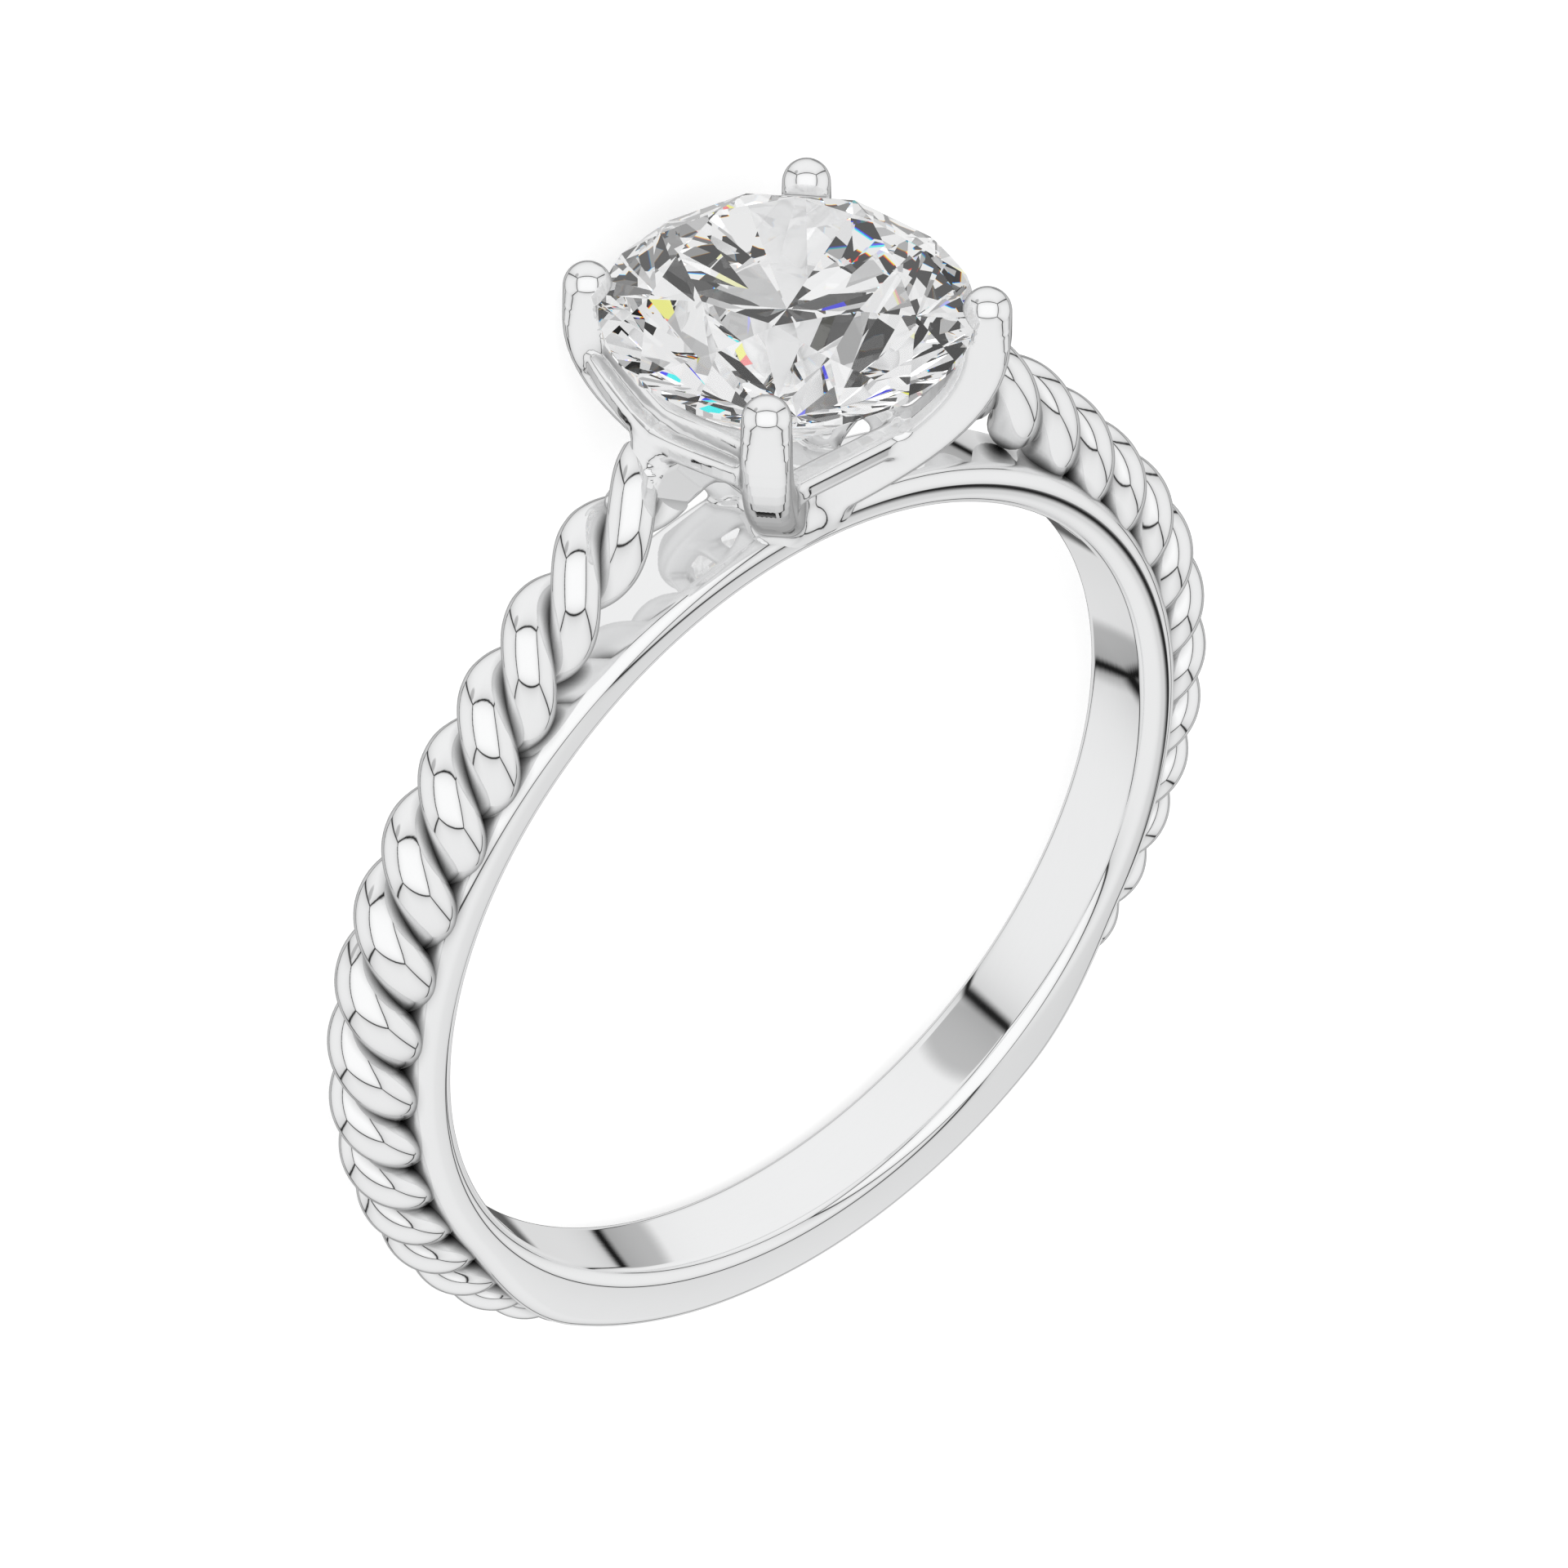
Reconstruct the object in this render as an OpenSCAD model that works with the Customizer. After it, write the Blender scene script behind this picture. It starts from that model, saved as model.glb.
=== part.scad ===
// Twisted shank ring: a round stone held by four curved prongs, on a band whose
// shoulders carry a two-strand twist. Millimetres, +Z up. The ring lies on its
// side as it would on a table, with the finger axis close to vertical.
//
// The ring's own frame, before it is laid down: X runs along the band under the
// stone, Y runs from the finger axis to the stone, Z is the finger axis.

/* [Band] */
// Inner diameter of the band, a US size 6
bore_d = 16.5; // [14:0.1:21]
// Width of the band along the finger
band_w = 1.86; // [1.6:0.02:2.6]
// Thickness of the thin liner that the twist lies on
liner_t = 0.78; // [0.6:0.02:1.2]
// Radius of the band's rounded edges
edge_r = 0.3; // [0.15:0.01:0.35]
// Width of the narrow bed that joins the twist to the liner
bed_t = 0.4; // [0.3:0.05:0.6]
// Thickness of the plain shank at the bottom of the ring
shank_t = 1.28; // [1.2:0.02:1.8]
// Angle from the stone, each way, at which the liner begins to swell
swell_from = 118; // [105:1:125]
// Angle from the stone, each way, at which the plain shank has its full thickness
shank_from = 143; // [135:1:155]

/* [Twist] */
// Diameter round both strands where the twist leaves the setting
twist_begin_d = 1.56; // [1.3:0.02:1.8]
// Diameter round both strands along the shoulders
twist_d = 1.84; // [1.5:0.02:2]
// Diameter round both strands where the twist ends in the plain shank
twist_end_d = 0.98; // [0.9:0.02:1.5]
// Length of the twist's beginning that lies in the arm
twist_lap = 0.71; // [0.5:0.01:0.9]
// Angle from the stone at which the twist has come down to the band
twist_down = 53; // [45:1:60]
// Angle from the stone from which the twist tapers and tightens
twist_taper = 75; // [60:1:100]
// Angle from the stone at which the twist ends
twist_to = 150; // [135:1:155]
// Angle of the band over which the pair of strands makes one whole turn
twist_pitch = 16.75; // [12:0.25:24]
// Turn of the pair of strands where the twist begins
twist_phase = 314; // [0:1:359]
// Further turn that the pair of strands gains as it tapers
twist_gain = 202; // [0:2:360]
// Depth of the twist's centre under the arm's top where it begins
twist_under = 0.7; // [0.5:0.02:1]
// Height of the twist's centre over the liner along the shoulders
twist_seat = 0.34; // [0.25:0.01:0.6]
// Height of the twist's centre over the liner where it ends
twist_sink = 0.25; // [0.1:0.01:0.4]

/* [Stone] */
// Girdle diameter of the stone
stone_d = 6.5; // [5.8:0.1:6.8]
// Height of the girdle over the liner
stone_lift = 3.92; // [3.6:0.02:4.4]
// Least thickness of the girdle where the facets meet it
girdle_t = 0.16; // [0.13:0.01:0.3]
// Height of the crown over the girdle
crown_h = 0.98; // [0.7:0.02:1.2]
// Depth of the pavilion under the girdle
pavilion_h = 2.8; // [2.4:0.05:3]
// Corner to corner width of the table
table_d = 3.75; // [3:0.05:4.2]
// Part of the way from the table to the girdle that the star facets reach
star_part = 0.5; // [0.4:0.05:0.6]
// Part of the way from the girdle to the point that the lower facets reach
lower_part = 0.77; // [0.7:0.01:0.85]
// Turn of the stone in its setting
stone_turn = 0; // [0:1:45]

/* [Setting] */
// Thickness of a prong
prong_t = 0.86; // [0.6:0.02:1]
// Distance of the prong tips' centres outside the girdle
prong_offset = 0.2; // [0.1:0.02:0.4]
// Height of the prong tips' centres over the girdle
prong_over = 0.26; // [0.2:0.02:0.5]
// Depth of the seat rails under the girdle, at the prongs
seat_rail_under = 0.65; // [0.55:0.01:0.75]
// Thickness of the seat rails
seat_rail_t = 0.38; // [0.3:0.02:0.5]
// Distance by which the seat rails bow outwards between the prongs
seat_rail_bow = 0.12; // [0.08:0.01:0.2]
// Depth of the forks under the girdle, at the prongs
fork_under = 1.07; // [1:0.01:1.25]
// Thickness of the forks' branches
fork_t = 0.44; // [0.36:0.02:0.6]
// Distance by which the forks bow outwards between the prongs
fork_bow = 0.45; // [0.35:0.01:0.6]
// Drop of the seat rails and the forks from the prongs to the arms
rail_drop = 0.36; // [0.2:0.02:0.5]
// Height of the lower rails over the liner
lower_rail_lift = 1.47; // [1.2:0.01:1.8]
// Distance of the lower rails' corners from the prongs' centres, inwards
lower_rail_inset = 0.26; // [0.1:0.02:0.35]
// Thickness of the lower rails
lower_rail_t = 0.5; // [0.4:0.02:0.6]
// Distance by which the arms pass the line between two prongs
arm_past = 1.16; // [0.9:0.02:1.4]
// Depth of the arms' tops under the girdle
arm_under = 1.1; // [1:0.02:1.35]
// Width of the arms along the finger
arm_w = 0.84; // [0.6:0.02:1.1]
// Lowest height of the arms over the liner
arm_clear = 0.57; // [0.3:0.05:0.8]
// Diameter of the hub at the foot of the prongs
hub_d = 1.7; // [1.4:0.1:1.8]
// Clearance between the stone and the metal
stone_gap = 0.03; // [0.02:0.01:0.06]

/* [Hidden] */
$fn = 96;

bore_r = bore_d / 2;
liner_r = bore_r + liner_t;
shank_r = bore_r + shank_t;
stone_r = stone_d / 2;
girdle_h = liner_r + stone_lift;
prong_r = stone_r + prong_offset;
// Distance of the prongs from the stone's axis, along the band and across it
prong_xz = prong_r / sqrt(2);
prong_h = girdle_h + prong_over;
seat_rail_h = girdle_h - seat_rail_under;
fork_h = girdle_h - fork_under;
arm_h = girdle_h - arm_under;
arm_reach = prong_xz + arm_past;
twist_lift = arm_h - twist_under - liner_r;
twist_from = asin((arm_reach - twist_lap) / (liner_r + twist_lift));
// Length by which the halves of a rail overlap, and the ends lie in the prongs
rail_lap = 0.1;
// Height of the bed over the liner, as a share of the twist's
bed_part = 0.8;

// Points round the twist's section and rings in one whole turn of the twist
twist_sides = 12;
turn_rings = 12;
// Distance of a strand's centre from the twist's, as a share of the strand's radius
strand_offset = 0.89;
// Width of a strand's section round the twist, which cuts it at a slant
strand_spread = 1.3;
// Rings along the swell, how far its skin lies under the turned surfaces, and the
// angle over which it runs on under the shank
swell_steps = 10;
swell_bury = 0.02;
swell_lap = 1;
// Points round the section of a prong, a rail and an arm
prong_sides = 12;
rail_sides = 10;
// Roundness of a section: 2 is an ellipse, and more is squarer
oval = 2;
squarish = 3.4;
// Length of the straight tip of a prong, as a share of its thickness
tip_part = 0.7;
// Distances of the prong's curve from the stone's axis, as shares of its tip's,
// and heights from the liner to the straight tip
prong_curve = [[0.23, 0.042], [0.6, 0.307], [1, 0.637], [1, 1]];
prong_bend_h = prong_h - tip_part * prong_t;
prong_path = [for (p = prong_curve) [p[0] * prong_r, mix(liner_r, prong_bend_h, p[1]), 0]];
lower_rail_h = liner_r + lower_rail_lift;
lower_rail_r = (lookup(lower_rail_h, [for (t = [0 : 1 / 16 : 1]) let (p = bezier(prong_path, t)) [p[1], p[0]]])
    - lower_rail_inset) / sqrt(2);

// Facets round the table, and rim points on each of the two facets between
table_sides = 8;
rim_points = 4;
facet = 360 / table_sides;
table_r = table_d / 2;
girdle_top = girdle_t / 2;
crown_top = girdle_top + crown_h;
star_r = mix(table_r * cos(facet / 2), stone_r, star_part);
star_h = crown_top - (star_r * cos(facet / 2) - table_r) * crown_h / (stone_r - table_r);
lower_r = (1 - lower_part) * stone_r;
lower_h = -girdle_top - pavilion_h * (1 - lower_r * cos(facet / 2) / stone_r);

// The ring lies on a surface, on the stone's girdle and on the band's foot
foot_y = shank_r - edge_r;
foot_z = band_w / 2 - edge_r;
lie_y = girdle_h - girdle_top + foot_y;
lie_z = stone_r - foot_z;
lean = atan2(lie_z, lie_y) - asin(edge_r / norm([lie_y, lie_z]));
lie_back = (girdle_h + crown_top) * cos(lean) + table_r * sin(lean);
lie_front = foot_y * cos(lean) + foot_z * sin(lean) + edge_r;
lie_lift = foot_y * sin(lean) + foot_z * cos(lean) + edge_r;

function mix(a, b, t) = a + (b - a) * t;
function share(a, from, to) = min(max((a - from) / (to - from), 0), 1);
function unit(v) = v / norm(v);

// A point at an angle from the stone and a radius from the finger axis
function on_ring(a, r, z = 0) = [r * sin(a), r * cos(a), z];

// A curve through its first and last points, drawn towards the two between, and
// its direction
function bezier(p, t) =
    pow(1 - t, 3) * p[0] + 3 * t * pow(1 - t, 2) * p[1]
    + 3 * t * t * (1 - t) * p[2] + pow(t, 3) * p[3];
function bezier_dir(p, t) =
    unit(pow(1 - t, 2) * (p[1] - p[0]) + 2 * t * (1 - t) * (p[2] - p[1]) + t * t * (p[3] - p[2]));

// Points round a section: two half widths and a roundness
function outline(w, h, sides, n) =
    [for (i = [0 : sides - 1])
        let (
            q = 360 * (i + 0.5) / sides,
            k = 1 / pow(pow(abs(cos(q)), n) + pow(abs(sin(q)), n), 1 / n)
        )
        k * [w * cos(q), h * sin(q)]];

// The section at a point of a path, with its width across the given direction
function ring_at(at, dir, up, section) =
    let (across = unit(cross(up, dir)), over = cross(dir, across))
    [for (p = section) at + p[0] * across + p[1] * over];

// Closed solid through rings of equally many points, its ends closed round their middles
module skin(rings) {
    n = len(rings[0]);
    last = len(rings) - 1;
    // Where the last ring and the two middles start in the list of points
    far = last * n;
    middles = far + n;
    sides = [for (k = [0 : last - 1]) for (i = [0 : n - 1])
        let (j = (i + 1) % n, a = k * n, b = a + n)
        for (f = [[a + i, b + j, a + j], [a + i, b + i, b + j]]) f];
    ends = [for (i = [0 : n - 1])
        let (j = (i + 1) % n)
        for (f = [[middles, i, j], [middles + 1, far + j, far + i]]) f];
    polyhedron(
        points = concat([for (r = rings) for (p = r) p], [for (r = [rings[0], rings[last]]) [for (p = r) 1 / n] * r]),
        faces = concat(sides, ends)
    );
}

// Level bar along a curve
module curved_bar(p, half, steps) {
    skin([for (t = [0 : 1 / steps : 1])
        ring_at(bezier(p, t), bezier_dir(p, t), [0, 1, 0], outline(half, half, rail_sides, squarish))]);
}

// Height of the twist's centre over the liner at an angle from the stone: it
// drops from the setting to the shoulders, runs level, then sinks in the shank
function twist_height(a) =
    twist_seat
    + (twist_lift - twist_seat) * pow(1 - share(a, twist_from, twist_down), 1.7)
    - (twist_seat - twist_sink) * pow(share(a, mix(twist_taper, twist_to, 1 / 3), twist_to), 1.3);

// Half of the diameter round both strands, and their turn, at an angle
function twist_half(a) =
    let (begun = mix(twist_begin_d, twist_d, share(a, twist_from, twist_down)))
    mix(begun, twist_end_d, share(a, twist_taper, twist_to)) / 2;
function twist_turn(a) =
    twist_phase
    + 360 * (a - twist_from) / twist_pitch
    + twist_gain * pow(share(a, twist_taper, twist_to), 2.2);

// Outline of the two strands side by side, two rounded lobes with a waist
function pair_outline(half) =
    let (strand = half / (1 + strand_offset))
    [for (i = [0 : twist_sides - 1])
        let (
            q = 360 * i / twist_sides,
            a = pow(cos(q), 2) + pow(sin(q) / strand_spread, 2),
            b = strand_offset * abs(cos(q)),
            c = 1 - pow(strand_offset, 2),
            reach = strand * (b + sqrt(b * b + a * c)) / a
        )
        reach * [cos(q), sin(q)]];

// A ring of points round the twist at one angle from the stone
function twist_ring(a) =
    let (turn = twist_turn(a), r = liner_r + twist_height(a))
    [for (p = pair_outline(twist_half(a)))
        on_ring(a, r + p[0] * cos(turn) - p[1] * sin(turn), p[0] * sin(turn) + p[1] * cos(turn))];

// Two strands twisted together along the +X shoulder
module twist() {
    steps = ceil((twist_turn(twist_to) - twist_phase) / 360 * turn_rings);
    skin([for (k = [0 : steps]) twist_ring(mix(twist_from, twist_to, k / steps))]);
}

// Prong that rises from the hub, curves up to the girdle and ends in a round tip
module prong() {
    half = prong_t / 2;
    up = [0, 0, 1];
    square = outline(half, half, prong_sides, squarish);
    skin(concat(
        [for (t = [0 : 1 / 8 : 1]) ring_at(bezier(prong_path, t), bezier_dir(prong_path, t), up, square)],
        [for (e = [0, 30, 60, 84])
            ring_at([prong_r, prong_h + half * sin(e), 0], [0, 1, 0], up,
                outline(half * cos(e), half * cos(e), prong_sides, oval))]
    ));
}

// Arm from the twist's first turn to the hub: a tall bar, seen from the side
module arm() {
    foot = liner_r + arm_clear;
    // Distance from the stone's axis as a share of the reach, and the heights of
    // the underside and the top as shares of the height from the foot
    stations = [
        [0.22, 0, 0.34], [0.31, 0.13, 0.44], [0.44, 0.245, 0.53], [0.56, 0.27, 0.67], [0.65, 0.22, 0.87],
        [0.72, 0.18, 1], [0.81, 0.155, 0.89], [0.89, 0.17, 0.7], [1, 0.26, 0.46]
    ];
    skin([for (s = stations)
        let (low = mix(foot, arm_h, s[1]), high = mix(foot, arm_h, s[2]))
        ring_at([s[0] * arm_reach, (low + high) / 2, 0], [1, 0, 0], [0, 1, 0],
            outline(arm_w / 2, (high - low) / 2, rail_sides, squarish))]);
}

// Half of a seat rail, from the arm to a prong at the pavilion's edge
module seat_rail() {
    c = prong_xz;
    bow = seat_rail_bow;
    curved_bar(
        [[c + bow, seat_rail_h - rail_drop, -rail_lap], [c + bow, seat_rail_h - 0.8 * rail_drop, c / 4],
         [c + 0.4 * bow, seat_rail_h, c / 2], [c - bow, seat_rail_h, c - 2 * rail_lap]],
        seat_rail_t / 2, 5);
}

// Branch of a fork, from the arm to a prong under the seat rail
module fork() {
    c = prong_xz;
    bow = fork_bow;
    curved_bar(
        [[c + 0.93 * bow, fork_h - rail_drop, -rail_lap], [c + bow, fork_h - 0.3 * rail_drop, c / 3],
         [c + 0.67 * bow, fork_h, 2 * c / 3], [c, fork_h, c - rail_lap]],
        fork_t / 2, 6);
}

// Lower rail between two neighbouring prongs
module lower_rail() {
    half = lower_rail_t / 2;
    at = [lower_rail_r, lower_rail_h, 0];
    reach = [0, 0, lower_rail_r];
    skin([for (end = [-1, 1]) ring_at(at + end * reach, [0, 0, 1], [0, 1, 0], outline(half, half, rail_sides, squarish))]);
}

// Hub that carries the prongs and the arms on the band
module hub() {
    translate([0, bore_r + liner_t / 2, 0])
        rotate([-90, 0, 0])
            cylinder(d = hub_d, h = liner_t / 2 + arm_clear + lower_rail_t / 2);
}

// Section of the band between two radii: a rectangle with round corners
module band_section(inner, outer) {
    for (s = [-1, 1]) for (r = [inner + edge_r, outer - edge_r])
        translate([r, s * (band_w / 2 - edge_r)]) circle(edge_r);
    translate([inner, -band_w / 2 + edge_r]) square([outer - inner, band_w - 2 * edge_r]);
    translate([inner + edge_r, -band_w / 2]) square([outer - inner - 2 * edge_r, band_w]);
}

// Section swept round the +X side between two angles from the stone
module sweep(from, to) {
    rotate([0, 0, 90 - to]) rotate_extrude(angle = to - from) children();
}

// Swell of the +X side, from the liner to the full thickness of the shank
module swell() {
    side = band_w / 2 - swell_bury;
    flat = side - edge_r;
    inner = bore_r + liner_t / 2;
    skin([for (t = [0 : 1 / swell_steps : 1])
        let (
            a = mix(swell_from, shank_from + swell_lap, t),
            r = mix(liner_r, shank_r, t * t * (3 - 2 * t)) - edge_r - swell_bury,
            corners = [for (s = [-1, 1]) for (q = [0 : 22.5 : 90])
                let (e = s < 0 ? q - 90 : q) [r + edge_r * cos(e), s * flat + edge_r * sin(e)]]
        )
        [for (p = concat(corners, [[inner, side], [inner, -side]])) on_ring(a, p[0], p[1])]]);
}

// Band with a thin liner all round, which swells into the thicker plain shank,
// and a narrow bed that joins the twist to it
module band() {
    rotate_extrude() band_section(bore_r, liner_r);
    sweep(shank_from, 360 - shank_from) band_section(bore_r, shank_r);
    both_sides() {
        swell();
        sweep(twist_down, shank_from)
            translate([bore_r + liner_t / 2, -bed_t / 2]) square([liner_t / 2 + bed_part * twist_seat, bed_t]);
    }
}

// Both sides of a thing that is drawn on the +X side
module both_sides() {
    children();
    mirror([1, 0, 0]) children();
}

// Room for the stone: a turned shape round it, with the clearance
module seat() {
    // The clearance along the stone's axis that leaves the gap at its slanted faces
    slant = stone_gap / cos(atan2(pavilion_h, stone_r));
    translate([0, girdle_h, 0]) rotate([-90, 0, 0]) rotate_extrude() polygon([
        [0, -girdle_top - pavilion_h - slant], [lower_r, lower_h - slant],
        [stone_r + stone_gap, -girdle_top - stone_gap / 2], [stone_r + stone_gap, girdle_top + stone_gap / 2],
        [star_r, star_h + slant], [table_r, crown_top + slant], [0, crown_top + slant]
    ]);
}

// Lays a thing that is drawn upright round the finger axis on the surface
module lay() {
    translate([0, (lie_front - lie_back) / 2, lie_lift]) rotate([lean, 0, 0]) children();
}

module ring_mount() color("gainsboro") lay() difference() {
    union() {
        band();
        hub();
        both_sides() {
            twist();
            arm();
            for (flip = [0, 1]) mirror([0, 0, flip]) {
                seat_rail();
                fork();
            }
        }
        for (turn = [45 : 90 : 315]) rotate([0, turn, 0]) prong();
        for (turn = [0 : 90 : 270]) rotate([0, turn, 0]) lower_rail();
    }
    seat();
}

function polar(a, r, h) = [r * cos(a), r * sin(a), h];

// A rim point at an angle, at the height of the flat facet through an inner
// corner and the two rim corners beside the point
function rim(k, inner, h) =
    let (
        half = facet / 2,
        first = floor(k / rim_points),
        p = inner[floor(first / 2)],
        q = polar(first * half, stone_r, h) - p,
        s = polar((first + 1) * half, stone_r, h) - p,
        n = cross(q, s),
        at = polar(k * half / rim_points, stone_r, 0)
    )
    [at[0], at[1], p[2] - (n[0] * (at[0] - p[0]) + n[1] * (at[1] - p[1])) / n[2]];

// Round brilliant: table, stars, kites and upper facets over the girdle, lower
// facets and long kites under it
module brilliant() {
    n = table_sides;
    rims = 2 * n * rim_points;
    tables = [for (i = [0 : n - 1]) polar(i * facet, table_r, crown_top)];
    stars = [for (i = [0 : n - 1]) polar((i + 0.5) * facet, star_r, star_h)];
    lowers = [for (i = [0 : n - 1]) polar((i + 0.5) * facet, lower_r, lower_h)];
    upper_rim = [for (k = [0 : rims - 1]) rim(k, stars, girdle_top)];
    lower_rim = [for (k = [0 : rims - 1]) rim(k, lowers, -girdle_top)];
    // Where each kind of point starts in the list, the stone's point being last
    s = n;
    u = 2 * n;
    l = u + rims;
    p = l + rims;
    tip = p + n;
    polyhedron(
        points = concat(tables, stars, upper_rim, lower_rim, lowers, [[0, 0, -girdle_top - pavilion_h]]),
        faces = concat(
            [[for (i = [n - 1 : -1 : 0]) i]],
            [for (i = [0 : n - 1]) [i, (i + 1) % n, s + i]],
            [for (i = [0 : n - 1]) [i, s + i, u + 2 * rim_points * i, s + (i + n - 1) % n]],
            [for (k = [0 : 2 * n - 1])
                concat([s + floor(k / 2)], [for (j = [rim_points : -1 : 0]) u + (k * rim_points + j) % rims])],
            [for (k = [0 : rims - 1]) let (j = (k + 1) % rims) [u + k, u + j, l + j, l + k]],
            [for (k = [0 : 2 * n - 1])
                concat([p + floor(k / 2)], [for (j = [0 : rim_points]) l + (k * rim_points + j) % rims])],
            [for (i = [0 : n - 1]) [tip, p + (i + n - 1) % n, l + 2 * rim_points * i, p + i]]
        )
    );
}

module round_stone() color("lightcyan") lay()
    translate([0, girdle_h, 0]) rotate([-90, 0, 0]) rotate([0, 0, stone_turn]) brilliant();

ring_mount();
round_stone();
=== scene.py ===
"""Looks of the twisted shank ring: polished white metal and a round brilliant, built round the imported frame."""

import math

import bpy
import numpy as np
from bpy.props import FloatProperty, FloatVectorProperty, IntProperty, PointerProperty
from mathutils import Matrix, Vector


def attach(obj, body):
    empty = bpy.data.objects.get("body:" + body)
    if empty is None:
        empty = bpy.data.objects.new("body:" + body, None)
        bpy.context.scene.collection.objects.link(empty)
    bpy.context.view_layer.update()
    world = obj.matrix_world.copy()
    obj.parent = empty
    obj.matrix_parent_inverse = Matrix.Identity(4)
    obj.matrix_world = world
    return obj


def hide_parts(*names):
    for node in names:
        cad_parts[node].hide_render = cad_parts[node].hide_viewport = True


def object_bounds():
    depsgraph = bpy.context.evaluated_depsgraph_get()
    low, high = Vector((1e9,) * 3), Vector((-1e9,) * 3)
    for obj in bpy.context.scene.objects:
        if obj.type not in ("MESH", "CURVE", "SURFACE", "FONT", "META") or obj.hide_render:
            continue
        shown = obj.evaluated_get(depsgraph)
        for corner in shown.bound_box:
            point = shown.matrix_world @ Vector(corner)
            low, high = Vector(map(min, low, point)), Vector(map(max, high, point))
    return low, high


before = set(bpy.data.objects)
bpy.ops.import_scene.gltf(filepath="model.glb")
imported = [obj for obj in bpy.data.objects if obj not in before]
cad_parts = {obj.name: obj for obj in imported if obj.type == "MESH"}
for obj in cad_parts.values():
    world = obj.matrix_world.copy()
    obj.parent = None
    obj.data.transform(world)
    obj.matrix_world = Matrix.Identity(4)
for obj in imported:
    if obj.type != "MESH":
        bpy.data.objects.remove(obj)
CAD_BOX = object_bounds()

bl_info = {
    "name": "Twisted shank ring",
    "version": (1, 0, 0),
    "blender": (4, 5, 0),
    "location": "3D View > Sidebar > Ring",
    "description": "Builds a ring with a two-strand twist, a four-prong setting and a round brilliant",
    "category": "Object",
}

BODY = "root"
MM = 0.001
# Added roughness of the metal that is seen in the metal
MIRRORED_BLUR = 0.4
# Share of the metal's colour that is swapped for a painted pale glow where metal is seen in the metal
MIRRORED_PAINTED_GLOW = 0.5
# Brightness of that painted glow
PAINTED_GLOW_LIGHT = 0.9
# How far the shade painted into the metal's creases reaches, in metres, and how deep it is
PAINTED_CREASE_SHADE_REACH = 0.25 * MM
PAINTED_CREASE_SHADE_DEPTH = 0.7
# Share of the stone's own look that is lost where it is seen in the metal, and the painted pale glow it gives off
# instead
STONE_MIRRORED_DIMMING = 0.97
STONE_PAINTED_GLOW = 0.6
# Tint of the light that the stone's faces mirror
STONE_MIRROR = (0.4, 0.4, 0.4)
# The reflection inside the stone at which the paths that stay in it end in painted glints, and the fields those glints
# are painted with
LATE_BOUNCE = 4.0
LATE_PAINTED_GLINT_FIELDS = {"scale": 1500.0, "steps": (0.3, 0.6, 0.02, 0.8), "parting": 0.006}
# Fields of the light that the stone lets through, and by how much their edges part into colours
FIRE_FIELDS = {"scale": 3.1, "steps": (0.1, 0.52, 0.03, 0.88), "parting": 0.006}
# The tent's half sizes along the camera's right, up and back, and the brightness of each wall and its opposite
TENT_HALVES = (1.19, 0.795, 1.0)
TENT_LIGHT = ((0.95, 0.95), (0.98, 0.94), (1.1, 0.95))
# Its dark seams: where they begin and end, how bright they stay, and how much the walls darken towards them
TENT_SEAM = (0.9, 0.99, 0.03, 0.32)
# Soft dark spots in the tent: where they lie to the right, up and back, their radius in degrees and their depth. The
# first is straight ahead and darkens the metal's edges, and the finger hole mirrors the others
DARK_SPOTS = (
    ((0.0, 0.0, -1.0), 11, 0.85),
    ((0.28, 0.68, -0.68), 8, 0.4),
    ((-0.69, 0.63, 0.36), 8, 0.4),
    ((-0.64, -0.43, -0.64), 8, 0.4),
)
# The photograph's view of the upright ring, in degrees: about the finger axis, over it, and the camera's roll
VIEW = (126.5569, 35.7865, 128.6952)
# The camera's distance and its shift to the right and up, in millimetres, and its lens
VIEW_AWAY = (120.812, 0.0242, 1.6729)
VIEW_LENS = 149.94
# The floor's half size and its depth under the ring, in metres, and its own light
FLOOR_REACH = 3.0
FLOOR_DEPTH = 2e-5
FLOOR_LIGHT = 0.58
# The key light's energy and its angle, in degrees
KEY_ENERGY = 0.6
KEY_ANGLE = 28
# Half width, half depth, foot and top of the grid that the setting is cast in, in millimetres
SETTING_GRID = (4.4, 3.2, 8.1, 14.0)
# How far along the band the liner is drawn with the setting, in millimetres, inside that grid
LINER_END = 4.3
# Corner radius of the setting's bars, as a share of half their thickness
SQUARISH = 0.63
# How many points a field is asked for at once
POINTS_AT_ONCE = 60000


def mm(value):
    """A length given in millimetres, in metres."""
    return value * MM


def deg(value):
    """An angle given in degrees, in radians."""
    return math.radians(value)


# ---------------------------------------------------------------- sizes

def length(name, description, millimetres):
    """A property for a length, whose default is given in millimetres."""
    return FloatProperty(name=name, description=description, default=mm(millimetres), unit="LENGTH")


def angle(name, description, degrees):
    """A property for an angle, whose default is given in degrees."""
    return FloatProperty(name=name, description=description, default=deg(degrees), subtype="ANGLE")


class RING_PG_band(bpy.types.PropertyGroup):
    """Sizes of the band."""
    bore_r: length("Bore radius", "Inner radius of the band", 8.25)
    width: length("Width", "Width of the band along the finger", 1.86)
    liner_t: length("Liner", "Thickness of the liner under the twist", 0.78)
    shank_t: length("Shank", "Thickness of the plain shank", 1.28)
    edge_r: length("Edge radius", "Radius of the rounded edges", 0.3)
    swell_from: angle("Swell begins", "Angle from the stone at which the liner begins to swell", 118)
    swell_to: angle("Swell ends", "Angle from the stone at which the shank has its full thickness", 143)
    bed_w: length("Bed width", "Width of the bed under the twist", 0.4)
    bed_h: length("Bed height", "Height of the bed over the liner", 0.27)
    bed_from: angle("Bed begins", "Angle from the stone at which the bed begins", 50)
    around: IntProperty(name="Steps around", description="Steps round the band", default=420, min=60)


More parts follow.
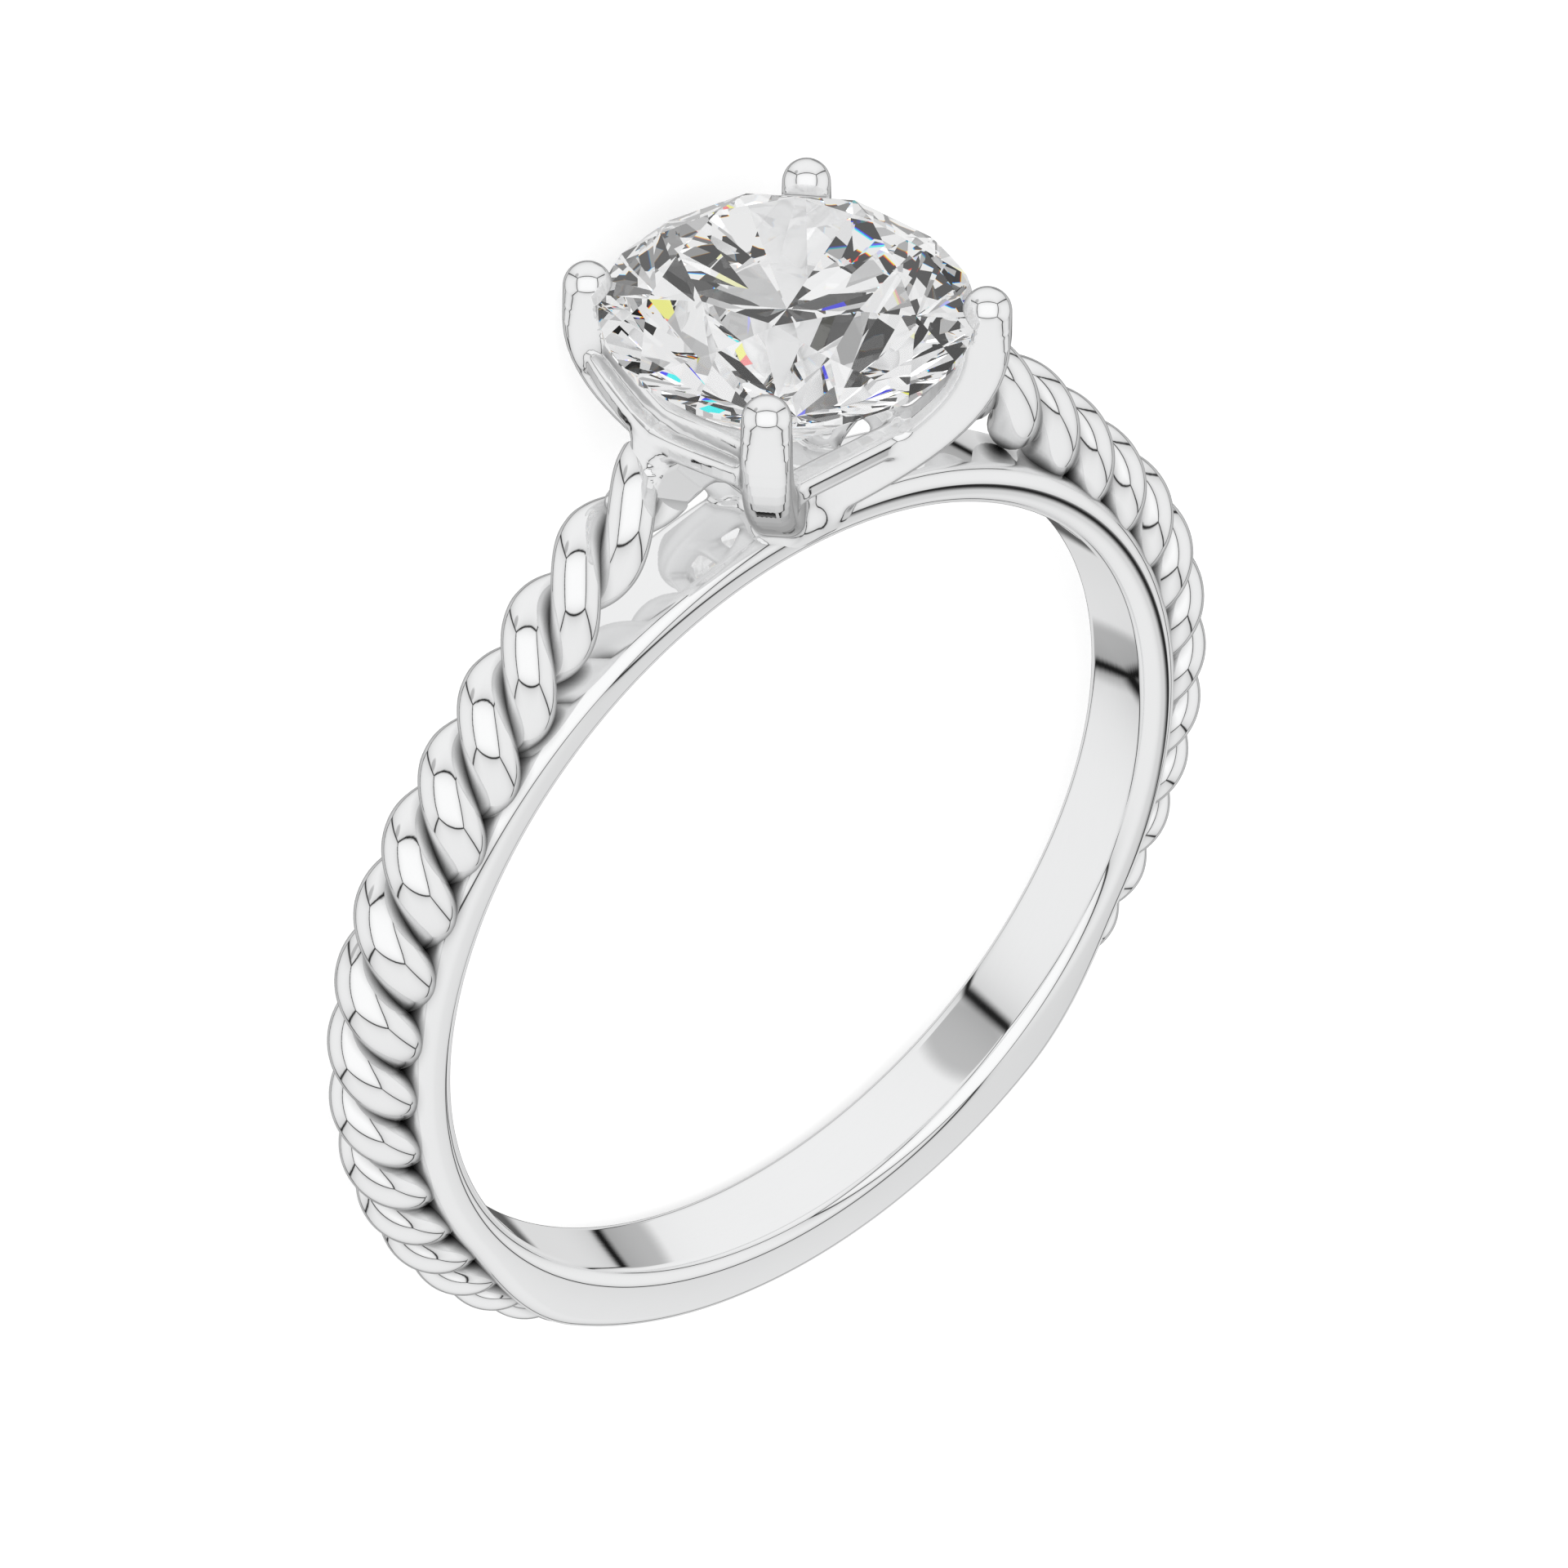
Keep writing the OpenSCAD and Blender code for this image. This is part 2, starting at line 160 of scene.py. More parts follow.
class RING_PG_twist(bpy.types.PropertyGroup):
    """Sizes of the twist."""
    begin_diameter: length(
        "First diameter", "Diameter round both strands where the twist leaves the setting", 1.56)
    diameter: length("Diameter", "Diameter round both strands along the shoulders", 1.84)
    end_diameter: length("End diameter", "Diameter round both strands where the twist ends", 0.98)
    begin: angle("Begins at", "Angle from the stone at which the twist begins", 15)
    down: angle("Comes down at", "Angle at which the twist has come down to the band", 53)
    taper: angle("Tapers from", "Angle from which the twist tapers and tightens", 75)
    end: angle("Ends at", "Angle from the stone at which the twist ends", 150)
    pitch: angle("Pitch", "Angle of the band over which the pair makes one whole turn", 16.75)
    phase: angle("Phase", "Turn of the pair where the twist begins", 314)
    gain: angle("Further turn", "Turn that the pair gains as it tapers", 202)
    lift: length("Lift", "Height of the twist over the liner where it begins", 2.12)
    seat: length("Seat", "Height of the twist over the liner along the shoulders", 0.34)
    sink: length("Sink", "Height of the twist over the liner where it ends", 0.25)
    offset: FloatProperty(
        name="Strand offset", description="Distance of a strand's centre from the twist's, as a share of its radius",
        default=0.89, subtype="FACTOR")
    points: IntProperty(name="Points", description="Points along a strand", default=430, min=60)
    sides: IntProperty(name="Sides", description="Points round a strand", default=26, min=6)


class RING_PG_setting(bpy.types.PropertyGroup):
    """Sizes of the setting that holds the stone."""
    prong_r: length("Prong distance", "Distance of the prong tips from the stone's axis", 3.45)
    prong_t: length("Prong thickness", "Thickness of a prong", 0.86)
    prong_h: length("Prong height", "Height of the prong tips' centres over the finger axis", 13.21)
    seat_rail_h: length("Seat rail height", "Height of the seat rails at the prongs", 12.3)
    seat_rail_t: length("Seat rail thickness", "Thickness of the seat rails", 0.38)
    fork_h: length("Fork height", "Height of the forks at the prongs", 11.88)
    fork_t: length("Fork thickness", "Thickness of the forks' branches", 0.44)
    rail_drop: length("Rail drop", "Drop of the rails from the prongs to the arms", 0.36)
    lower_rail_h: length("Lower rail height", "Height of the lower rails", 10.5)
    lower_rail_r: length("Lower rail distance", "Distance of the lower rails from the stone's axis", 1.5)
    lower_rail_t: length("Lower rail thickness", "Thickness of the lower rails", 0.5)
    arm_reach: length("Arm reach", "Distance of the arms' ends from the stone's axis", 3.6)
    arm_h: length("Arm height", "Height of the arms' tops", 11.85)
    arm_w: length("Arm width", "Width of the arms along the finger", 0.84)
    arm_clear: length("Arm clearance", "Lowest height of the arms over the liner", 0.57)
    hub_d: length("Hub diameter", "Diameter of the hub at the foot of the prongs", 1.7)
    cell: length("Cell", "Cell of the grid in which the setting is cast", 0.055)


class RING_PG_stone(bpy.types.PropertyGroup):
    """Sizes of the stone, for the room that the setting leaves it."""
    radius: length("Radius", "Radius of the girdle", 3.25)
    height: length("Height", "Height of the girdle over the finger axis", 12.95)
    girdle_t: length("Girdle", "Least thickness of the girdle", 0.16)
    crown_h: length("Crown", "Height of the crown", 0.98)
    pavilion_h: length("Pavilion", "Depth of the pavilion", 2.8)
    table_r: length("Table radius", "Corner radius of the table", 1.875)
    gap: length("Gap", "Clearance between the stone and the metal", 0.03)


class RING_PG_finish(bpy.types.PropertyGroup):
    """Colours and finish."""
    metal: FloatVectorProperty(
        name="Metal", description="Colour of the polished white metal",
        default=(0.875, 0.878, 0.882), subtype="COLOR")
    polish: FloatProperty(
        name="Polish", description="Roughness of the polished metal", default=0.035, subtype="FACTOR")
    stone: FloatVectorProperty(
        name="Stone", description="Colour of the stone", default=(1.0, 1.0, 1.0), subtype="COLOR")
    stone_ior: FloatProperty(name="Stone IOR", description="Refractive index of the stone", default=2.417)
    floor: FloatVectorProperty(
        name="Floor", description="Colour of the floor", default=(0.62, 0.62, 0.62), subtype="COLOR")


class RING_PG_ring(bpy.types.PropertyGroup):
    """All sizes and colours of the ring."""
    band: PointerProperty(type=RING_PG_band)
    twist: PointerProperty(type=RING_PG_twist)
    setting: PointerProperty(type=RING_PG_setting)
    stone: PointerProperty(type=RING_PG_stone)
    finish: PointerProperty(type=RING_PG_finish)


def ring_of(context):
    """The scene's sizes and colours of the ring."""
    return context.scene.twisted_ring


def laying(ring):
    """The matrix that lays the upright ring down on the stone's girdle and the band's foot."""
    band, stone = ring.band, ring.stone
    foot_y = band.bore_r + band.shank_t - band.edge_r
    foot_z = band.width / 2 - band.edge_r
    girdle_top = stone.girdle_t / 2
    lie_y = stone.height - girdle_top + foot_y
    lie_z = stone.radius - foot_z
    lean = math.atan2(lie_z, lie_y) - math.asin(band.edge_r / math.hypot(lie_y, lie_z))
    back = (stone.height + girdle_top + stone.crown_h) * math.cos(lean) + stone.table_r * math.sin(lean)
    front = foot_y * math.cos(lean) + foot_z * math.sin(lean) + band.edge_r
    lift = foot_y * math.sin(lean) + foot_z * math.cos(lean) + band.edge_r
    return Matrix.Translation((0, (front - back) / 2, lift)) @ Matrix.Rotation(lean, 4, "X")


# ---------------------------------------------------------------- node trees

class Net:
    """Adds nodes to a tree and links what they are given."""

    def __init__(self, tree):
        self.tree = tree

    def add(self, kind, *inputs, **settings):
        node = self.tree.nodes.new(kind)
        for key, value in settings.items():
            setattr(node, key, value)
        for index, value in enumerate(inputs):
            self.put(node.inputs[index], value)
        return node

    def put(self, socket, value):
        if isinstance(value, bpy.types.NodeSocket):
            self.tree.links.new(value, socket)
        elif value is not None:
            socket.default_value = value

    def math(self, operation, *inputs, clamp=False):
        return self.add("ShaderNodeMath", *inputs, operation=operation, use_clamp=clamp).outputs[0]

    def vector(self, operation, *inputs):
        node = self.add("ShaderNodeVectorMath", *inputs, operation=operation)
        return node.outputs["Value" if operation in ("DOT_PRODUCT", "LENGTH", "DISTANCE") else "Vector"]

    def plus(self, a, b):
        return self.math("ADD", a, b)

    def minus(self, a, b):
        return self.math("SUBTRACT", a, b)

    def times(self, a, b):
        return self.math("MULTIPLY", a, b)

    def over(self, a, b):
        return self.math("DIVIDE", a, b)

    def share(self, value, low, high):
        """How far value is between low and high, from 0 to 1."""
        return self.math("DIVIDE", self.minus(value, low), self.minus(high, low), clamp=True)

    def eased(self, value, low, high):
        """How far value is between low and high, with a soft beginning and end."""
        part = self.share(value, low, high)
        return self.times(self.times(part, part), self.minus(3.0, self.times(part, 2.0)))

    def between(self, a, b, share):
        return self.math("MULTIPLY_ADD", self.minus(b, a), share, a)

    def smooth_range(self, value, *limits):
        """A value mapped softly from one range to another: from low, from high, to low, to high."""
        step = self.add("ShaderNodeMapRange", interpolation_type="SMOOTHSTEP")
        self.put(step.inputs["Value"], value)
        for label, limit in zip(("From Min", "From Max", "To Min", "To Max"), limits):
            step.inputs[label].default_value = limit
        return step.outputs[0]

    def grey(self, value):
        """A colour with the same value in all its channels."""
        return self.add("ShaderNodeCombineColor", value, value, value).outputs[0]

    def scaled(self, colour, factor):
        """A colour or vector times a number."""
        product = self.vector("SCALE", colour)
        self.put(product.node.inputs["Scale"], factor)
        return product


def new_geometry_tree(name, sizes):
    """A geometry tree with a named float or integer input for each size, and a material input."""
    tree = bpy.data.node_groups.new(name, "GeometryNodeTree")
    tree.is_modifier = True
    for label, value in sizes.items():
        kind = "NodeSocketInt" if isinstance(value, int) else "NodeSocketFloat"
        socket = tree.interface.new_socket(label, in_out="INPUT", socket_type=kind)
        socket.default_value = value
    tree.interface.new_socket("Material", in_out="INPUT", socket_type="NodeSocketMaterial")
    tree.interface.new_socket("Geometry", in_out="OUTPUT", socket_type="NodeSocketGeometry")
    net = Net(tree)
    group_in = net.add("NodeGroupInput")
    return net, {s.name: s for s in group_in.outputs}


def end_geometry_tree(net, sockets, geometry):
    """Ends a tree in Realize Instances and Set Material."""
    smooth = net.add("GeometryNodeSetShadeSmooth", geometry)
    real = net.add("GeometryNodeRealizeInstances", smooth.outputs[0])
    finished = net.add("GeometryNodeSetMaterial", real.outputs[0])
    net.put(finished.inputs["Material"], sockets["Material"])
    out = net.add("NodeGroupOutput")
    net.tree.links.new(finished.outputs[0], out.inputs[0])


def run_tree(name, net, sizes, material, matrix):
    """A plain mesh object from a geometry tree, laid down by matrix."""
    piece = bpy.data.objects.new(name, bpy.data.meshes.new(name))
    bpy.context.scene.collection.objects.link(piece)
    modifier = piece.modifiers.new("shape", "NODES")
    modifier.node_group = net.tree
    values = dict(sizes, Material=material)
    for item in net.tree.interface.items_tree:
        if item.item_type == "SOCKET" and item.in_out == "INPUT":
            modifier[item.identifier] = values[item.name]
    bpy.context.view_layer.update()
    evaluated = piece.evaluated_get(bpy.context.evaluated_depsgraph_get())
    mesh = bpy.data.meshes.new_from_object(evaluated)
    piece.modifiers.clear()
    piece.data = mesh
    mesh.name = name
    mesh.transform(matrix)
    return piece


def finish_piece(piece, node):
    """Hangs a piece on the ring's body and hides the CAD node whose place it takes."""
    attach(piece, BODY)
    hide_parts(node)


# ---------------------------------------------------------------- materials

def polish_group():
    """Shader group: the slight unevenness that hand polishing leaves."""
    name = "Hand polish"
    if name in bpy.data.node_groups:
        return bpy.data.node_groups[name]
    tree = bpy.data.node_groups.new(name, "ShaderNodeTree")
    for label, kind, value in (("Vector", "NodeSocketVector", None), ("Scale", "NodeSocketFloat", 900.0),
                               ("Roughness", "NodeSocketFloat", 0.04), ("Unevenness", "NodeSocketFloat", 0.5),
                               ("Color", "NodeSocketColor", (0.9, 0.9, 0.9, 1.0))):
        socket = tree.interface.new_socket(label, in_out="INPUT", socket_type=kind)
        if value is not None:
            socket.default_value = value
    for label, kind in (("Color", "NodeSocketColor"), ("Roughness", "NodeSocketFloat"), ("Height", "NodeSocketFloat")):
        tree.interface.new_socket(label, in_out="OUTPUT", socket_type=kind)
    net = Net(tree)
    put_in = net.add("NodeGroupInput").outputs
    cloud = net.add("ShaderNodeTexNoise")
    net.put(cloud.inputs["Vector"], put_in["Vector"])
    net.put(cloud.inputs["Scale"], put_in["Scale"])
    net.put(cloud.inputs["Detail"], 4.0)
    # Long faint strokes of the polishing wheel
    stretched = net.add("ShaderNodeMapping", put_in["Vector"])
    stretched.inputs["Scale"].default_value = (1.0, 1.0, 9.0)
    strokes = net.add("ShaderNodeTexNoise")
    net.put(strokes.inputs["Vector"], stretched.outputs[0])
    net.put(strokes.inputs["Scale"], net.times(put_in["Scale"], 4.0))
    net.put(strokes.inputs["Detail"], 2.0)
    # The cloud makes up most of the unevenness, which changes the roughness strongly and the tone slightly
    both = net.plus(net.times(cloud.outputs[0], 0.65), net.times(strokes.outputs[0], 0.35))
    swing = net.times(net.minus(both, 0.5), put_in["Unevenness"])
    rough = net.times(put_in["Roughness"], net.plus(1.0, net.times(swing, 3.0)))
    tone = net.plus(1.0, net.times(swing, 0.08))
    colour = net.scaled(put_in["Color"], tone)
    out = net.add("NodeGroupOutput")
    for socket, value in zip(out.inputs, (colour, rough, both)):
        net.tree.links.new(value, socket)
    return tree


def metal(name, finish, scale, bump, edge, own_painted_shade=False):
    """Polished white metal with traces of hand polishing, and painted shade in its creases. Scale says how fine the
    traces are and bump how deep, edge how much light is mirrored at a grazing angle, and own_painted_shade that only
    the piece itself casts the shade painted into its creases."""
    material = bpy.data.materials.new(name)
    material.use_nodes = True
    net = Net(material.node_tree)
    shader = material.node_tree.nodes["Principled BSDF"]
    place = net.add("ShaderNodeTexCoord").outputs["Object"]
    polish = net.add("ShaderNodeGroup", node_tree=polish_group())
    net.put(polish.inputs["Vector"], place)
    net.put(polish.inputs["Scale"], scale)
    net.put(polish.inputs["Roughness"], finish.polish)
    net.put(polish.inputs["Color"], (*finish.metal, 1.0))
    relief = net.add("ShaderNodeBump")
    relief.inputs["Strength"].default_value = bump
    relief.inputs["Distance"].default_value = mm(0.01)
    net.put(relief.inputs["Height"], polish.outputs["Height"])
    # Metal seen in metal is blurred, and part of its colour is swapped for a painted pale glow that carries the
    # painted crease shade, so that the creases shade quietly
    mirrored = net.add("ShaderNodeLightPath").outputs["Is Glossy Ray"]
    crease_occlusion = net.add("ShaderNodeAmbientOcclusion", samples=8)
    crease_occlusion.only_local = own_painted_shade
    crease_occlusion.inputs["Distance"].default_value = PAINTED_CREASE_SHADE_REACH
    # Painted shade: the metal's colour darkens in its creases and recesses by how much of the surroundings they hide
    shade = net.math("POWER", crease_occlusion.outputs["AO"], PAINTED_CREASE_SHADE_DEPTH)
    painted_shade_and_dimming = net.times(shade, net.minus(1.0, net.times(mirrored, MIRRORED_PAINTED_GLOW)))
    net.put(shader.inputs["Base Color"], net.scaled(polish.outputs["Color"], painted_shade_and_dimming))
    # Painted glow: metal seen in metal gives off a pale light of its own, darkened by the painted crease shade
    net.put(shader.inputs["Emission Color"], net.grey(net.times(net.times(mirrored, shade), MIRRORED_PAINTED_GLOW)))
    shader.inputs["Emission Strength"].default_value = PAINTED_GLOW_LIGHT
    net.put(shader.inputs["Roughness"], net.plus(polish.outputs["Roughness"], net.times(mirrored, MIRRORED_BLUR)))
    net.put(shader.inputs["Normal"], relief.outputs[0])
    shader.inputs["Metallic"].default_value = 1.0
    shader.inputs["Specular Tint"].default_value = (edge, edge, edge, 1.0)
    return material


def bright_fields(net, vector, scale, steps, parting):
    """Fields of light and dark whose edges part slightly into colours: where dark ends and light begins, how
    bright each is, and by what share the colours part."""
    parts = []
    for spread in (1.0 - parting, 1.0, 1.0 + parting):
        fields = net.add("ShaderNodeTexVoronoi", feature="F1")
        net.put(fields.inputs["Vector"], net.vector("MULTIPLY", vector, Vector((spread, 1.0, spread))))
        fields.inputs["Scale"].default_value = scale
        shade = net.add("ShaderNodeSeparateColor", fields.outputs["Color"]).outputs[0]
        parts.append(net.smooth_range(shade, *steps))
    return net.add("ShaderNodeCombineColor", *parts).outputs[0]


def stone_glass(finish):
    """Clear stone with the slightest cloud in its colour, a painted pale glow where the metal mirrors it, and painted
    glints where paths stay long inside it.
    """
    material = bpy.data.materials.new("clear_stone")
    material.use_nodes = True
    net = Net(material.node_tree)
    shader = material.node_tree.nodes["Principled BSDF"]
    place = net.add("ShaderNodeTexCoord").outputs["Object"]
    cloud = net.add("ShaderNodeTexNoise")
    net.put(cloud.inputs["Vector"], place)
    net.put(cloud.inputs["Scale"], 260.0)
    tint = net.add("ShaderNodeMix", data_type="RGBA")
    net.put(tint.inputs["Factor"], cloud.outputs[0])
    for socket, value in (("A", finish.stone), ("B", (0.985, 0.99, 1.0))):
        [s for s in tint.inputs if s.name == socket and s.type == "RGBA"][0].default_value = (*value, 1.0)
    # Seen in the metal the stone is a quiet pale shape: its colour is dimmed and a painted pale glow takes its place
    path = net.add("ShaderNodeLightPath").outputs
    outside = net.minus(1.0, net.add("ShaderNodeNewGeometry").outputs["Backfacing"])
    mirrored = net.times(path["Is Glossy Ray"], outside)
    clear = [s for s in tint.outputs if s.type == "RGBA"][0]
    net.put(shader.inputs["Base Color"], net.scaled(clear, net.minus(1.0, net.times(mirrored, STONE_MIRRORED_DIMMING))))
    shader.inputs["Metallic"].default_value = 0.0
    shader.inputs["Roughness"].default_value = 0.0
    shader.inputs["IOR"].default_value = finish.stone_ior
    shader.inputs["Transmission Weight"].default_value = 1.0
    shader.inputs["Specular Tint"].default_value = (*STONE_MIRROR, 1.0)
    # Paths thrown about inside the stone many times end in painted glints, which give off light in bright and dark
    # fields in place of the light they would still bring to the eye
    late = net.math("COMPARE", path["Glossy Depth"], LATE_BOUNCE, 0.5)
    painted_glints = net.scaled(bright_fields(net, place, **LATE_PAINTED_GLINT_FIELDS), net.times(late, net.minus(1.0, mirrored)))
    # Painted glow: the stone seen in the metal gives off plain pale light of its own
    painted_pale_glow = net.grey(net.times(mirrored, STONE_PAINTED_GLOW))
    net.put(shader.inputs["Emission Color"], net.vector("ADD", painted_glints, painted_pale_glow))
    shader.inputs["Emission Strength"].default_value = 1.0
    return material


# ---------------------------------------------------------------- band

def band_sizes(band):
    """The values of the band tree's inputs."""
    return {
        "Bore radius": band.bore_r, "Width": band.width, "Liner": band.liner_t, "Shank": band.shank_t,
        "Edge radius": band.edge_r, "Swell begins": band.swell_from, "Swell ends": band.swell_to,
        "Bed width": band.bed_w, "Bed height": band.bed_h, "Bed begins": band.bed_from, "Steps around": band.around,
    }


def band_tree(sizes):
    """A rounded section swept round the bore, whose outside swells into the plain shank."""
    net, value = new_geometry_tree("Band", sizes)

    def section(width, height, corner, corner_steps):
        box = net.add("GeometryNodeCurvePrimitiveQuadrilateral")
        net.put(box.inputs["Width"], height)
        net.put(box.inputs["Height"], width)
        fillet = net.add("GeometryNodeFilletCurve")
        fillet.mode = "POLY"
        net.put(fillet.inputs["Curve"], box.outputs[0])
        net.put(fillet.inputs["Count"], corner_steps)
        net.put(fillet.inputs["Radius"], corner)
        return fillet.outputs[0]

    def ring(radius, profile):
        circle = net.add("GeometryNodeCurvePrimitiveCircle")
        net.put(circle.inputs["Resolution"], value["Steps around"])
        net.put(circle.inputs["Radius"], radius)
        swept = net.add("GeometryNodeCurveToMesh", circle.outputs[0], profile)
        return swept.outputs[0]

    middle = net.plus(value["Bore radius"], net.over(value["Liner"], 2.0))
    hoop = ring(middle, section(value["Width"], value["Liner"], value["Edge radius"], 10))
    place = net.add("GeometryNodeInputPosition").outputs[0]
    apart = net.add("ShaderNodeSeparateXYZ", place)
    x, y = apart.outputs[0], apart.outputs[1]
    angle = net.math("ARCTAN2", net.math("ABSOLUTE", x), y)
    flat = net.add("ShaderNodeCombineXYZ", x, y, 0.0).outputs[0]
    radius = net.vector("LENGTH", flat)
    outward = net.vector("NORMALIZE", flat)
    swell = net.eased(angle, value["Swell begins"], value["Swell ends"])
    rise = net.times(swell, net.minus(value["Shank"], value["Liner"]))
    push = net.scaled(outward, rise)
    outside = net.math("GREATER_THAN", radius, middle)
    swollen = net.add("GeometryNodeSetPosition")
    net.put(swollen.inputs["Geometry"], hoop)
    net.put(swollen.inputs["Selection"], outside)
    net.put(swollen.inputs["Offset"], push)
    bed_middle = net.plus(net.plus(value["Bore radius"], value["Liner"]), net.over(value["Bed height"], 4.0))
    bed = ring(bed_middle, section(value["Bed width"], net.times(value["Bed height"], 1.5), mm(0.08), 3))
    kept = net.add("GeometryNodeDeleteGeometry", domain="FACE")
    net.put(kept.inputs["Geometry"], bed)
    net.put(kept.inputs["Selection"], net.math("LESS_THAN", angle, value["Bed begins"]))
    joined = net.add("GeometryNodeJoinGeometry")
    for part_of in (swollen.outputs[0], kept.outputs[0]):
        net.tree.links.new(part_of, joined.inputs[0])
    end_geometry_tree(net, value, joined.outputs[0])
    return net


# ---------------------------------------------------------------- twist

def twist_sizes(twist, band):
    """The values of the twist tree's inputs."""
    return {
        "Liner radius": band.bore_r + band.liner_t,
        "First diameter": twist.begin_diameter, "Diameter": twist.diameter, "End diameter": twist.end_diameter,
        "Begins at": twist.begin, "Comes down at": twist.down, "Tapers from": twist.taper, "Ends at": twist.end,
        "Pitch": twist.pitch, "Phase": twist.phase, "Further turn": twist.gain, "Lift": twist.lift,
        "Seat": twist.seat, "Sink": twist.sink, "Strand offset": twist.offset,
        "Points": twist.points, "Sides": twist.sides,
    }


def twist_tree(sizes):
    """Two strands that wind round each other along the +X shoulder, and their mirror image."""
    net, value = new_geometry_tree("Twist", sizes)
    index = net.add("GeometryNodeInputIndex").outputs[0]
    along = net.over(index, net.minus(value["Points"], 1.0))
    angle = net.between(value["Begins at"], value["Ends at"], along)
    drop = net.minus(1.0, net.share(angle, value["Begins at"], value["Comes down at"]))
    sinking = net.share(angle, net.between(value["Tapers from"], value["Ends at"], 1 / 3), value["Ends at"])
    # The powers bend the path down from the setting, into the shank, and tighten the turn, as on the real ring
    height = net.plus(value["Seat"], net.times(net.minus(value["Lift"], value["Seat"]), net.math("POWER", drop, 1.7)))
    height = net.minus(height, net.times(net.minus(value["Seat"], value["Sink"]), net.math("POWER", sinking, 1.3)))
    taper = net.share(angle, value["Tapers from"], value["Ends at"])
    begun = net.between(value["Diameter"], value["First diameter"], drop)
    half = net.over(net.between(begun, value["End diameter"], taper), 2.0)
    turn = net.times(net.over(net.minus(angle, value["Begins at"]), value["Pitch"]), math.tau)
    turn = net.plus(net.plus(value["Phase"], turn), net.times(value["Further turn"], net.math("POWER", taper, 2.2)))
    radius = net.plus(value["Liner radius"], height)
    strand = net.over(half, net.plus(1.0, value["Strand offset"]))
    reach = net.times(strand, value["Strand offset"])
    circle = net.add("GeometryNodeCurvePrimitiveCircle")
    net.put(circle.inputs["Resolution"], value["Sides"])
    net.put(circle.inputs["Radius"], 1.0)
    joined = net.add("GeometryNodeJoinGeometry")
    for side in (1.0, -1.0):
        line = net.add("GeometryNodeMeshLine")
        net.put(line.inputs["Count"], value["Points"])
        curve = net.add("GeometryNodeMeshToCurve", line.outputs[0])
        out_by = net.times(reach, side)
        from_axis = net.plus(radius, net.times(out_by, net.math("COSINE", turn)))
        place = net.add(
            "ShaderNodeCombineXYZ",
            net.times(from_axis, net.math("SINE", angle)),
            net.times(from_axis, net.math("COSINE", angle)),
            net.times(out_by, net.math("SINE", turn)),
        )
        path = net.add("GeometryNodeSetPosition")
        net.put(path.inputs["Geometry"], curve.outputs[0])
        net.put(path.inputs["Position"], place.outputs[0])
        swept = net.add("GeometryNodeCurveToMesh", path.outputs[0], circle.outputs[0])
        net.put(swept.inputs["Scale"], strand)
        net.put(swept.inputs["Fill Caps"], True)
        net.tree.links.new(swept.outputs[0], joined.inputs[0])
    mirrored = net.add("GeometryNodeTransform", joined.outputs[0])
    mirrored.inputs["Scale"].default_value = (-1.0, 1.0, 1.0)
    turned = net.add("GeometryNodeFlipFaces", mirrored.outputs[0])
    both = net.add("GeometryNodeJoinGeometry")
    for part_of in (joined.outputs[0], turned.outputs[0]):
        net.tree.links.new(part_of, both.inputs[0])
    end_geometry_tree(net, value, both.outputs[0])
    return net


# ---------------------------------------------------------------- setting

def bezier(points, steps):
    """Points along the curve of four control points."""
    p = np.array(points, float)
    t = np.linspace(0, 1, steps)[:, None]
    return (1 - t) ** 3 * p[0] + 3 * t * (1 - t) ** 2 * p[1] + 3 * t * t * (1 - t) * p[2] + t ** 3 * p[3]


def unit(v):
    """Vectors of length 1."""
    return v / np.linalg.norm(v, axis=-1, keepdims=True)


class Bar:
    """Distance to a bar with a rounded box section along a line of points. It keeps, for each point, the centre c, the
    half width w and height h, the corner radius r, and the directions along (d), across (a) and out (o). A bar
    with along_x is cut square to the X axis."""

    def __init__(self, centres, across, half_w, half_h, corner, along_x=False):
        n = len(centres)
        self.c = np.array(centres, float)
        self.w, self.h, self.r = (np.broadcast_to(np.array(v, float), n) for v in (half_w, half_h, corner))
        step = np.gradient(self.c, axis=0)
        if along_x:
            step = np.broadcast_to(np.array([1.0, 0, 0]), (n, 3))
        self.d = unit(step)
        self.a = unit(np.broadcast_to(np.array(across, float), (n, 3)))
        self.o = unit(np.cross(self.d, self.a))
        self.along_x = along_x

    def __call__(self, p):
        best = np.full(len(p), 1e3)
        for k in range(len(self.c) - 1):
            c0, line = self.c[k], self.c[k + 1] - self.c[k]
            if self.along_x:
                t = (p[:, 0] - c0[0]) / line[0]
            else:
                t = (p - c0) @ line / (line @ line)
            t = np.clip(t, 0, 1)[:, None]
            q = p - (c0 + t * line)
            mix = lambda v: v[k] + (v[k + 1] - v[k]) * (t if v.ndim > 1 else t[:, 0])
            u = np.abs((q * mix(self.a)).sum(1))
            v = np.abs((q * mix(self.o)).sum(1))
            s = (q * mix(self.d)).sum(1)
            r = mix(self.r)
            eu, ev = u - (mix(self.w) - r), v - (mix(self.h) - r)
            out = np.sqrt(np.maximum(eu, 0) ** 2 + np.maximum(ev, 0) ** 2 + s * s)
            best = np.minimum(best, out + np.minimum(np.maximum(eu, ev), 0) - r)
        return best


def soft_min(a, b, k):
    """The lesser of two fields, with a fillet of about size k where they meet."""
    h = np.maximum(k - np.abs(a - b), 0) / k
    return np.minimum(a, b) - h * h * k / 4


def soft_max(a, b, k):
    """The greater of two fields, with a rounding of about size k where they meet."""
    return -soft_min(-a, -b, k)


